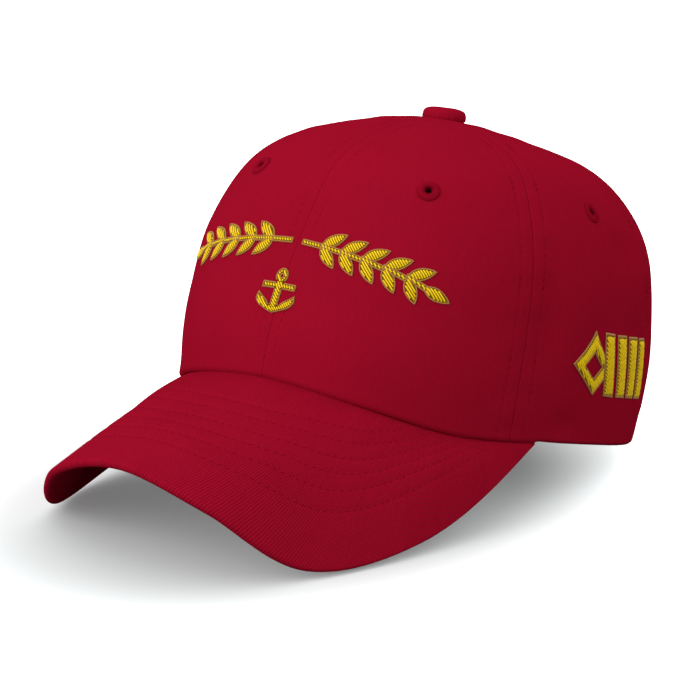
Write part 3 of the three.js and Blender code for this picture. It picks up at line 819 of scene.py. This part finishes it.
def eyeletPiece(name, middle):
    bm = threadMesh()
    ring = (eyelet["radius"] + eyelet["hole"]) / 2
    half = (eyelet["radius"] - eyelet["hole"]) / 2
    verts, around, over = gridFaces(bm, eyelet["rays"] * 4, 12)
    turn, lean = around * 2 * np.pi, over * 2 * np.pi
    rib = 1 + 0.09 * np.cos(turn * eyelet["rays"])
    swell = ring + half * np.cos(lean) * rib
    rise = np.where(np.sin(lean) > 0, eyelet["stand"] * rib, eyelet["depth"]) * np.sin(lean)
    perTurn, perRow = crownScale(middle, eyelet["row"])
    pointRow = eyelet["row"] + swell * np.sin(turn) / perRow
    setPlaces(verts, onCrown(middle + swell * np.cos(turn) / perTurn, pointRow, rise))
    setCloth(bm, np.stack([lean * half, turn * ring], 1))
    closeMesh(bm, 0.00001)
    addPiece("eyelet_" + name + "_thread", bm, redThread, ["eyelet_" + name])


for panelName, _, _, eyeletTurn in panels:
    eyeletPiece(panelName, eyeletTurn * deg)
print("eyelets done")

strap = {
    "width": 19,
    "thickness": 1.5,
    "gap": 0.5,
    "tuck": 10,
    "endReach": 16,
    "columns": 60,
    "rows": 16,
    "stitchAside": 2.6,
    "rounding": 0.35,
    "groove": 0.18,
}


def strapPlace(startX, endX, tip, along, up):  # the turn and height of a strip that narrows to its tip
    shrink = 1 - tip * (1 - np.minimum(1, (1 - along) / 0.2)) ** 2
    return backTurnAt(startX + along * (endX - startX)), strap["width"] * (0.5 + (up - 0.5) * shrink)


def strapPiece(node, startX, endX, depth, tip):
    bm = bmesh.new()
    rows = strap["rows"]
    corners = (0, rows, rows + 2, 2 * rows + 2, 2 * rows + 4)  # outer face, edge, inner face, edge
    verts, along, around = gridFaces(bm, strap["columns"], corners[-1])
    step = np.round(around * corners[-1])
    up = np.interp(step, corners, (0, 1, 1, 0, 0))
    inward = np.interp(step, corners, (0, 0, 1, 1, 0))
    turn, height = strapPlace(startX, endX, tip, along, up)
    fromSide = np.minimum(up, 1 - up) * strap["width"]
    sunk = strap["rounding"] * (1 - smoothStep(0, 1.2, fromSide))
    sunk += strap["groove"] * bump(fromSide - strap["stitchAside"], 0.7)
    inside = depth + inward * strap["thickness"] + sunk * (1 - 2 * inward)
    points = crownLevel(turn, rowAtHeight(turn, height), inside)
    points[:, 2] = height
    setPlaces(verts, points)
    setCloth(bm, np.stack([along * abs(endX - startX) * 1.1, height + inward * 40], 1))
    closeMesh(bm, 0.00001, True)
    addPiece(node + "_cloth", bm, redTwill, [node])
    stitches = threadMesh()
    along = np.linspace(0.02, 0.97, 120)
    for aside in (strap["stitchAside"], strap["width"] - strap["stitchAside"]):
        turn, height = strapPlace(startX, endX, tip, along, aside / strap["width"])
        row = rowAtHeight(turn, height)
        addStitches(stitches, crownLevel(turn, row, depth + 0.05), crownNormal(turn, row))
    closeMesh(stitches)
    addPiece(node + "_cloth_stitches", stitches, redThread)


strapSide = arch["halfWidth"] + strap["tuck"]
endDepth = crown["wall"] + strap["gap"]
strapDepth = endDepth + strap["thickness"] + strap["gap"]
strapPiece("strap", strapSide, -strapSide, strapDepth, 0)
strapPiece("strap_end", strapSide, -strap["endReach"], endDepth, 0.5)
print("strap done")

# embroidery: each motif is a few closed outlines, in millimetres along the hem and up the crown
embroidery = {
    "gap": 0.15,
    "pitch": 0.84,
    "threadWidth": 0.7,
    "threadHeight": 0.42,
    "longest": 5.5,
    "pad": 0.6,
    "base": 0.3,
    "hatch": -48,
    "borderHeight": 0.42,
}


def signedDepth(outline, points):  # how deep each point lies inside a closed outline
    a = np.asarray(outline, float)
    b = np.roll(a, -1, axis=0)
    p = points[:, None, :]
    edge = b - a
    t = np.clip(((p - a) * edge).sum(-1) / (edge**2).sum(-1), 0, 1)
    distance = np.linalg.norm(p - a - edge * t[..., None], axis=-1).min(1)
    crosses = (a[:, 1] > p[..., 1]) != (b[:, 1] > p[..., 1])
    slant = np.where(edge[:, 1] == 0, 1e-12, edge[:, 1])
    hits = crosses & (p[..., 0] < a[:, 0] + (p[..., 1] - a[:, 1]) * edge[:, 0] / slant)
    return np.where(hits.sum(1) % 2 == 1, distance, -distance)


def motifDepth(motif, points):  # the same for a motif with its holes
    depth = np.max([signedDepth(o, points) for o in motif["outlines"]], axis=0)
    for hole in motif["holes"]:
        depth = np.minimum(depth, -signedDepth(hole, points))
    return depth


def onMotif(motif, points, out):
    turn = motif["turn"] + points[:, 0] / motif["perTurn"]
    row = motif["row"] + points[:, 1] / motif["perRow"]
    return onCrown(turn, row, out)


def padHeight(depth):
    return embroidery["base"] + embroidery["pad"] * (1 - np.exp(-np.maximum(depth, 0) / 0.9))


def fillThreads(bm, motif):
    lean = embroidery["hatch"] * deg
    along = np.array([math.cos(lean), math.sin(lean)])
    aside = np.array([-along[1], along[0]])
    corners = np.concatenate(motif["outlines"])
    steps = np.arange((corners @ along).min(), (corners @ along).max(), 0.12)
    rows = np.arange((corners @ aside).min(), (corners @ aside).max(), embroidery["pitch"])
    margin, longest = motif["border"] + embroidery["gap"], embroidery["longest"]
    for index, place in enumerate(rows):
        inside = motifDepth(motif, steps[:, None] * along + place * aside) > margin
        changes = np.flatnonzero(np.diff(np.concatenate([[0], inside.astype(int), [0]])))
        for start, stop in zip(changes[::2], changes[1::2]):
            a, b = steps[start], steps[stop - 1]
            cuts = [a, *np.arange(a + longest * (0.35 + 0.3 * (index % 3)), b - 1, longest), b]
            for one, two in zip(cuts, cuts[1:]):
                if two - one > 0.25:
                    layThread(bm, motif, one * along + place * aside, two * along + place * aside, aside)


def layThread(bm, motif, start, end, aside):
    length = float(np.linalg.norm(end - start))
    verts, s, t = gridFaces(bm, max(2, int(length / 0.9)), 4)
    across = (t - 0.5) * embroidery["threadWidth"]
    middle = start + (end - start) * s[:, None]
    crest = np.sqrt(np.clip(1 - (2 * t - 1) ** 2, 0, 1)) * np.minimum(1, 0.45 + 4 * np.minimum(s, 1 - s))
    out = padHeight(motifDepth(motif, middle) - motif["border"]) + embroidery["threadHeight"] * crest
    setPlaces(verts, onMotif(motif, middle + across[:, None] * aside, out))
    mapThreads(bm, verts, np.stack([s * length, across], 1), np.zeros(len(s)))


def borderCords(bm, motif):
    half = motif["border"] / 2
    groups = [(o, False) for o in motif["outlines"]] + [(o, True) for o in motif["holes"]]
    for index, (outline, isHole) in enumerate(groups):
        closed = np.asarray([*outline, outline[0]], float)
        runs = runLengths(closed)
        count = max(12, int(runs[-1] / 0.45))
        places = np.linspace(0, runs[-1], count + 1)
        line = alongLine(closed, runs, places)
        tangent = unit(np.roll(line[:-1], -1, axis=0) - np.roll(line[:-1], 1, axis=0))
        tangent = np.concatenate([tangent, tangent[:1]])
        normal = np.stack([-tangent[:, 1], tangent[:, 0]], 1)
        isInner = signedDepth(outline, line[:1] + normal[:1] * half)[0] > 0
        line = line + normal * half * (1 if isInner != isHole else -1)
        keep = np.ones(len(line), bool)
        for other, (o, hole) in enumerate(groups):
            if other != index and not isHole:
                keep &= signedDepth(o, line) < half * (1 if hole else 0.6)
        verts, s, t = gridFaces(bm, count, 8)
        spot = np.round(s * count).astype(int)
        across = np.cos(t * np.pi) * half * 1.05
        ridge = 1 + 0.1 * np.cos(s * count * 2.1)
        out = np.sin(t * np.pi) * embroidery["borderHeight"] * ridge + embroidery["base"] * 0.6
        setPlaces(verts, onMotif(motif, line[spot] + normal[spot] * across[:, None], out))
        mapThreads(bm, verts, np.stack([across, places[spot]], 1), np.where(keep, 0, -1)[spot])


# a sheet beneath each motif's threads, in a darkened gold that shows as painted shade in the gaps between
# them
def underPlate(bm, motif):
    corners = np.concatenate(motif["outlines"])
    low, size = corners.min(0), np.ptp(corners, 0)
    verts, s, t = gridFaces(bm, *(max(4, int(n / 0.4)) for n in size))
    flat = low + np.stack([s, t], 1) * size
    depth = motifDepth(motif, flat)
    setPlaces(verts, onMotif(motif, flat, padHeight(depth - motif["border"]) - 0.05))
    mapThreads(bm, verts, np.zeros((len(s), 2)), np.where(depth < 0.1, -1, 0))


def embroider(name, motifs, border):
    threads, cords, plate = threadMesh(), threadMesh(), threadMesh()
    for motif in motifs:
        motif["border"] = border
        motif["perTurn"], motif["perRow"] = crownScale(motif["turn"], motif["row"])
        fillThreads(threads, motif)
        borderCords(cords, motif)
        underPlate(plate, motif)
    # the rank marks use the copy of the gold thread painted lighter for the shaded side
    finish = rankThreadPaintedLighter if name.startswith("rank") else goldThread
    addPiece(name + "_fill", threads, finish, [name])
    addPiece(name + "_border", cords, tanThread)
    addPiece(name + "_pad", plate, padShadeThread)


def motifAt(turn, row, outlines, holes=()):
    return {"turn": turn, "row": row, "outlines": outlines, "holes": holes}


def turned(points, lean, x=0, y=0):
    c, s = math.cos(lean), math.sin(lean)
    return [(x + u * c - v * s, y + u * s + v * c) for u, v in points]


def box(width, height, x=0.0, y=0.0):
    w, h = width / 2, height / 2
    return [(x - w, y - h), (x + w, y - h), (x + w, y + h), (x - w, y + h)]


def arc(x, y, radius, start, end, steps):
    turns = np.linspace(start, end, steps) * deg
    return [(x + radius * math.cos(t), y + radius * math.sin(t)) for t in turns]


anchorSizes = {"height": 16.6, "row": 2.0, "turn": -0.9, "border": 0.5}
anchorArm = [(0.12, -0.45), (0.345, -0.331), (0.44, -0.24), (0.488, -0.14), (0.46, 0.02)]
anchorArm += [(0.33, -0.08), (0.19, -0.18), (0.15, -0.25), (0.06, -0.29)]  # shares of the height


def anchorMotif():
    high = anchorSizes["height"]
    ring = arc(0, high * 0.36, high * 0.15, 0, 345, 24)
    eye = arc(0, high * 0.36, high * 0.03, 0, 330, 12)
    shank = box(high * 0.19, high * 0.64, 0, -high * 0.04)
    stock = box(high * 0.84, high * 0.135, 0, high * 0.17)
    half = [(high * x, high * y) for x, y in anchorArm]
    arms = [(0, -high * 0.5)] + half + [(-x, y) for x, y in reversed(half)]
    return motifAt(anchorSizes["turn"] * deg, anchorSizes["row"], [ring, shank, stock, arms], [eye])


laurel = {
    "turn": 36,
    "root": 0.05,
    "row": 2.9,
    "drop": 0.28,
    "leafLength": 10.5,
    "leafWidth": 4.6,
    "pairs": 5,
    "stemWidth": 2.3,
    "leafLean": 0.72,
    "border": 0.55,
}


def leafOutline(x, y, lean):
    share = np.linspace(0, 1, 12)
    along = share * laurel["leafLength"]
    swell = np.sin(np.pi * share**0.85) ** 0.8 * laurel["leafWidth"] / 2
    return turned([*zip(along, swell), *zip(along[10:0:-1], -swell[10:0:-1])], lean, x, y)


def laurelMotifs(side):
    root = laurel["root"] * laurel["turn"] * deg
    reach = laurel["turn"] * deg - root
    steps = laurel["pairs"] + 1
    outward = 0 if side > 0 else np.pi
    motifs = []

    def at(share):
        return side * (root + share * reach), laurel["row"] - laurel["drop"] * share**2

    for i in range(steps):
        turn, row = at(i / steps)
        step = crownPoint(*at((i + 1) / steps)) - crownPoint(turn, row)
        slope = math.atan2(step[2], math.hypot(step[0], step[1]))
        length = float(np.linalg.norm(step))
        lean = outward + side * slope
        outlines = [turned(box(length * 1.1, laurel["stemWidth"], length / 2), lean)]
        for away in (laurel["leafLean"], -laurel["leafLean"]) if i else ():
            outlines.append(leafOutline(0, 0, outward + side * (slope + away)))
        if i == steps - 1:
            out = 0.75 * length
            outlines.append(leafOutline(out * math.cos(lean), out * math.sin(lean), lean))
        motifs += [motifAt(turn, row, [outline]) for outline in outlines]
    return motifs


rank = {
    "turn": 87.7,
    "row": 1.56,
    "height": 23.8,
    "barWidth": 8,
    "barPitch": 11.7,
    "diamondWidth": 28.4,
    "diamondBand": 8,
    "diamondPitch": 12.5,
    "border": 0.75,
    "fall": 0.06,
    "slant": 0.14,
    "gap": 0.3,
}


def rankOutline(points):
    return [(x - rank["slant"] * y, y - rank["fall"] * x) for x, y in points]


def rankMark(name, outline, holes, along):  # so far along from the first bar
    perTurn, perRow = crownScale(rank["turn"] * deg, rank["row"])
    turn = rank["turn"] * deg + along / perTurn
    row = rank["row"] - rank["fall"] * along / perRow
    mark = motifAt(turn, row, [rankOutline(outline)], [rankOutline(hole) for hole in holes])
    embroider(name, [mark], rank["border"])


def rankMarks():
    reach, half = rank["diamondWidth"] / 2, rank["height"] / 2
    inner = (reach - rank["diamondBand"]) / reach
    cut = rank["diamondPitch"] - rank["barWidth"] / 2 - rank["gap"]
    cutHalf = half * (1 - cut / reach)
    outline = [(-reach, 0), (0, -half), (cut, -cutHalf), (cut, cutHalf), (0, half)]
    hole = [(-reach * inner, 0), (0, -half * inner), (reach * inner, 0), (0, half * inner)]
    rankMark("rank_diamond", outline, [hole], -rank["diamondPitch"])
    for i in range(4):
        rankMark("rank_bar_%d" % (i + 1), box(rank["barWidth"], rank["height"]), [], i * rank["barPitch"])


embroider("anchor", [anchorMotif()], anchorSizes["border"])
embroider("laurel_left", laurelMotifs(1), laurel["border"])
embroider("laurel_right", laurelMotifs(-1), laurel["border"])
rankMarks()
print("embroidery done")


# floor, light and camera
studio = {
    "floorColour": (0.68, 0.7, 0.7, 1),
    "floorBounce": (0.24, 0.27, 0.27, 1),  # what the floor gives back to the cap
    "glowColour": (0.97, 1, 1, 1),
    "glow": (0.15, 1.5),  # painted glow of the floor, seen by the camera only: dim at the cap, leaving a painted shadow patch there, and bright away from it
    "paintedShadowCentre": (-0.01, -0.035),
    "paintedShadowReach": (0.102, 0.155),  # half the width and length of the painted shadow patch, in metres
    "glowFade": (0.72, 1.5),
    "world": 1.1,
    "key": {"place": (-0.754, -2.04, 0.8), "size": 1.8, "power": 25},
}


def addFloor():
    bm = bmesh.new()
    bmesh.ops.create_grid(bm, x_segments=4, y_segments=4, size=12)
    mesh = bpy.data.meshes.new("floor")
    bm.to_mesh(mesh)
    bm.free()
    material, tree, shader = newMaterial("floor", 0, 0)
    shader.inputs["Roughness"].default_value = 1
    shader.inputs["Emission Color"].default_value = studio["glowColour"]
    seen = tree.nodes.new("ShaderNodeLightPath").outputs["Is Camera Ray"]
    colour = tree.nodes.new("ShaderNodeMix")
    colour.data_type = "RGBA"
    colour.inputs["A"].default_value = studio["floorBounce"]
    colour.inputs["B"].default_value = studio["floorColour"]
    tree.links.new(seen, colour.inputs["Factor"])
    tree.links.new(colour.outputs["Result"], shader.inputs["Base Color"])
    # the floor's emission is painted light seen only by the camera: low in a patch around the cap, where
    # the real shadow shows, and bright beyond it, whitening the floor and cutting the shadow to the
    # patch's shape
    place = tree.nodes.new("ShaderNodeTexCoord")
    reach = (1 / studio["paintedShadowReach"][0], 1 / studio["paintedShadowReach"][1], 1)
    fromCap = tree.nodes.new("ShaderNodeVectorMath")
    fromCap.operation = "SUBTRACT"
    fromCap.inputs[1].default_value = (*studio["paintedShadowCentre"], 0)
    tree.links.new(place.outputs["Object"], fromCap.inputs[0])
    length = tree.nodes.new("ShaderNodeVectorMath")
    length.operation = "LENGTH"
    tree.links.new(stretched(tree, fromCap.outputs[0], 0, reach), length.inputs[0])
    fade = tree.nodes.new("ShaderNodeMapRange")
    fade.interpolation_type = "SMOOTHSTEP"
    fade.inputs["From Min"].default_value, fade.inputs["From Max"].default_value = studio["glowFade"]
    fade.inputs["To Min"].default_value, fade.inputs["To Max"].default_value = studio["glow"]
    tree.links.new(length.outputs["Value"], fade.inputs["Value"])
    tree.links.new(mathNode(tree, "MULTIPLY", fade.outputs[0], seen), shader.inputs["Emission Strength"])
    mesh.materials.append(material)
    floor = bpy.data.objects.new("floor", mesh)
    bpy.context.scene.collection.objects.link(floor)


def addLight(name, facts):
    light = bpy.data.lights.new(name, "AREA")
    light.shape = "DISK"
    light.size = facts["size"]
    light.energy = facts["power"]
    lamp = bpy.data.objects.new(name, light)
    lamp.location = facts["place"]
    aim = Vector((0, 0, 0.05)) - Vector(facts["place"])
    lamp.rotation_euler = aim.to_track_quat("-Z", "Y").to_euler()
    bpy.context.scene.collection.objects.link(lamp)


def addStudio():
    world = bpy.data.worlds.new("studio")
    world.use_nodes = True
    background = world.node_tree.nodes["Background"]
    background.inputs["Strength"].default_value = studio["world"]
    background.inputs["Color"].default_value = (1, 1, 1, 1)
    bpy.context.scene.world = world
    addLight("key", studio["key"])
    bpy.context.scene.view_settings.view_transform = "Standard"


cameraSetup = {
    "turn": 32.664,
    "rise": 13.451,
    "roll": 2.881,
    "distance": 823.6,
    "target": (0, -24.25, 58.2),
    "slide": (-19.28, -12.62),
    "focalShare": 2139.615 / 700,  # focal length as a share of the picture's width
}


def addCamera():
    a, e, r = (cameraSetup[k] * deg for k in ("turn", "rise", "roll"))
    back = Vector((math.sin(a) * math.cos(e), -math.cos(a) * math.cos(e), math.sin(e)))
    level = Vector((math.cos(a), math.sin(a), 0))
    upright = back.cross(level)
    right = math.cos(r) * level + math.sin(r) * upright
    up = math.cos(r) * upright - math.sin(r) * level
    target = Vector(cameraSetup["target"]) + right * cameraSetup["slide"][0] + up * cameraSetup["slide"][1]
    place = placed([target + back * cameraSetup["distance"]])[0]
    data = bpy.data.cameras.new("camera")
    data.sensor_width = 36
    data.lens = 36 * cameraSetup["focalShare"]
    data.clip_end = 50
    camera = bpy.data.objects.new("camera", data)
    facing = Matrix((right, up, back)).transposed().to_4x4()
    camera.matrix_world = Matrix.Translation(Vector(place)) @ facing
    bpy.context.scene.collection.objects.link(camera)
    bpy.context.scene.camera = camera


addFloor()
addStudio()
addCamera()
print("studio done")
